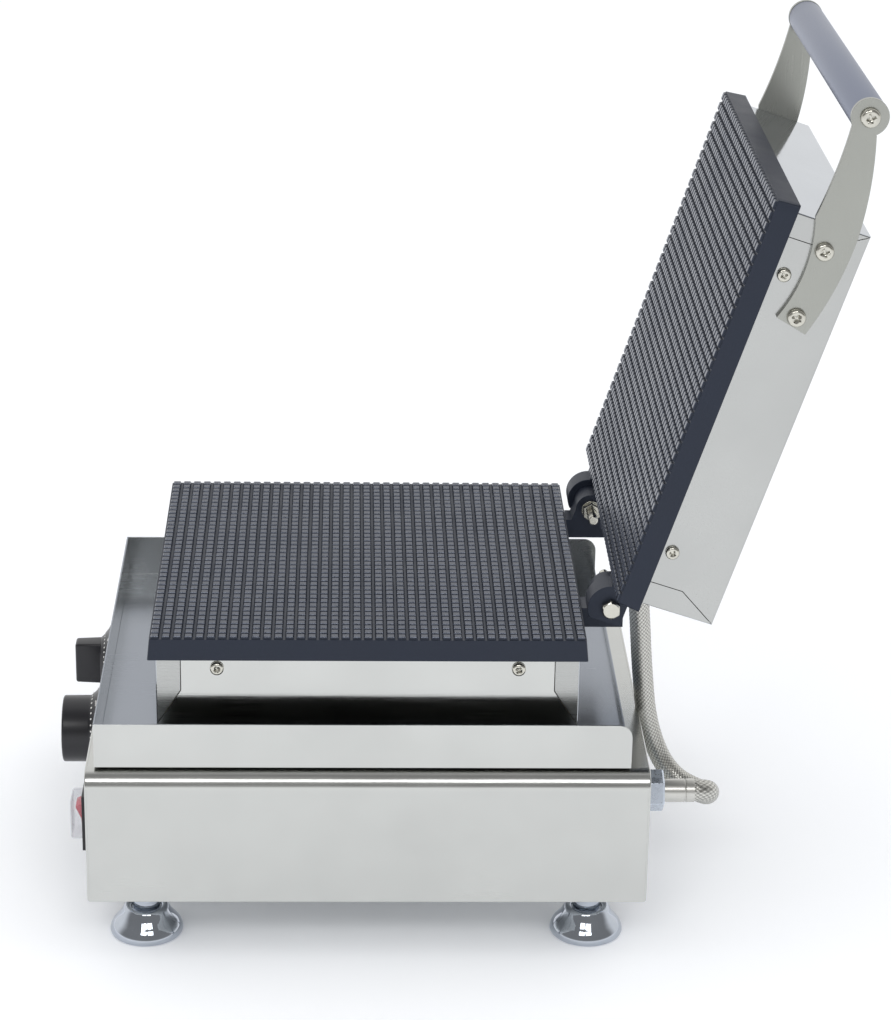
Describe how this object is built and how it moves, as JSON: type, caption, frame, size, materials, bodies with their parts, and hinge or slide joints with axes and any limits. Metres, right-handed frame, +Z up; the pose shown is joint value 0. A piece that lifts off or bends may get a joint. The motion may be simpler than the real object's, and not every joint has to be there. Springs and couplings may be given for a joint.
{
  "type": "stroopwafel iron",
  "caption": "Hinged waffle iron with two square gridded plates, casings, handle, drip tray, body with knobs and switch, levelling feet and a flexible hose.",
  "frame": {"origin": "centre of the bounding box's bottom face, on the table under the feet", "axes": "+Z up, -Y to the front where the knobs are, +Y to the hinge, +X to the right-hand side; the lid stands open"},
  "size_m": [0.298, 0.4659, 0.5111],
  "materials": {
    "stainless": "satin",
    "cast_iron": "satin",
    "bright_steel": "polished",
    "zinc": "satin",
    "chrome": "polished",
    "grip_metal": "satin",
    "black_plastic": "matte",
    "red_plastic": "gloss",
    "clear_plastic": "gloss",
    "mineral_wool": "matte",
    "white_ceramic": "gloss",
    "braid": "satin"
  },
  "bodies": {
    "base": {"base_shell": "stainless", "base_bottom": "stainless", "bottom_screws": "zinc", "foot_bushes": "zinc", "drip_tray": "stainless", "tray_spacers": "zinc", "tray_bolts": "zinc", "tray_nuts": "zinc", "wire_bush": "black_plastic", "lower_casing_pan": "stainless", "lower_casing_ends": "stainless", "lower_casing_screws": "bright_steel", "lower_plate": "cast_iron", "lower_hinge_lugs": "cast_iron", "lower_heater": "stainless", "lower_insulation": "mineral_wool", "thermostat_bulb": "bright_steel", "thermostat_unit": "black_plastic", "timer_unit": "black_plastic", "terminal_block": "white_ceramic", "hinge_bolts": "zinc", "hinge_washers": "zinc", "hinge_nuts": "zinc", "switch_housing": "black_plastic", "switch_cap": "clear_plastic", "hose_gland": "zinc", "hose_locknut": "zinc", "hose_ferrule": "stainless", "braided_hose": "braid", "mains_gland": "black_plastic"},
    "lid": {"upper_plate": "cast_iron", "upper_hinge_lugs": "cast_iron", "upper_casing_pan": "stainless", "upper_casing_ends": "stainless", "upper_casing_screws": "bright_steel", "upper_heater": "stainless", "upper_insulation": "mineral_wool", "handle_bracket_right": "stainless", "handle_bracket_left": "stainless", "bracket_backing_plates": "stainless", "bracket_screws": "bright_steel", "grip": "grip_metal", "grip_plugs": "zinc", "grip_screws": "bright_steel", "lid_hose_sleeve": "black_plastic"},
    "thermostat": {"thermostat_knob": "black_plastic", "thermostat_shaft": "zinc"},
    "timer": {"timer_knob": "black_plastic", "timer_shaft": "zinc"},
    "rocker": {"rocker": "red_plastic"},
    "foot_front_right": {"foot_front_right": "chrome"},
    "foot_front_left": {"foot_front_left": "chrome"},
    "foot_rear_right": {"foot_rear_right": "chrome"},
    "foot_rear_left": {"foot_rear_left": "chrome"}
  },
  "joints": [
    {"name": "lid_hinge", "type": "hinge", "parent": "base", "child": "lid", "pos_m": [0, 0.09622, 0.20052], "axis": [1, 0, 0], "range_deg": [0, 108.2], "deforming": ["braided_hose"]},
    {"name": "thermostat_turn", "type": "hinge", "parent": "base", "child": "thermostat", "pos_m": [-0.002, -0.21435, 0.0765], "axis": [0, -1, 0], "range_deg": [-290, 0]},
    {"name": "timer_turn", "type": "hinge", "parent": "base", "child": "timer", "pos_m": [-0.105, -0.21435, 0.0765], "axis": [0, -1, 0], "range_deg": [-330, 0]},
    {"name": "rocker_tilt", "type": "hinge", "parent": "base", "child": "rocker", "pos_m": [0.116, -0.20835, 0.078], "axis": [-1, 0, 0], "range_deg": [0, 28]},
    {"name": "foot_front_right_height", "type": "slide", "parent": "base", "child": "foot_front_right", "axis": [0, 0, -1], "range_m": [0, 0.008]},
    {"name": "foot_front_left_height", "type": "slide", "parent": "base", "child": "foot_front_left", "axis": [0, 0, -1], "range_m": [0, 0.008]},
    {"name": "foot_rear_right_height", "type": "slide", "parent": "base", "child": "foot_rear_right", "axis": [0, 0, -1], "range_m": [0, 0.008]},
    {"name": "foot_rear_left_height", "type": "slide", "parent": "base", "child": "foot_rear_left", "axis": [0, 0, -1], "range_m": [0, 0.008]}
  ]
}
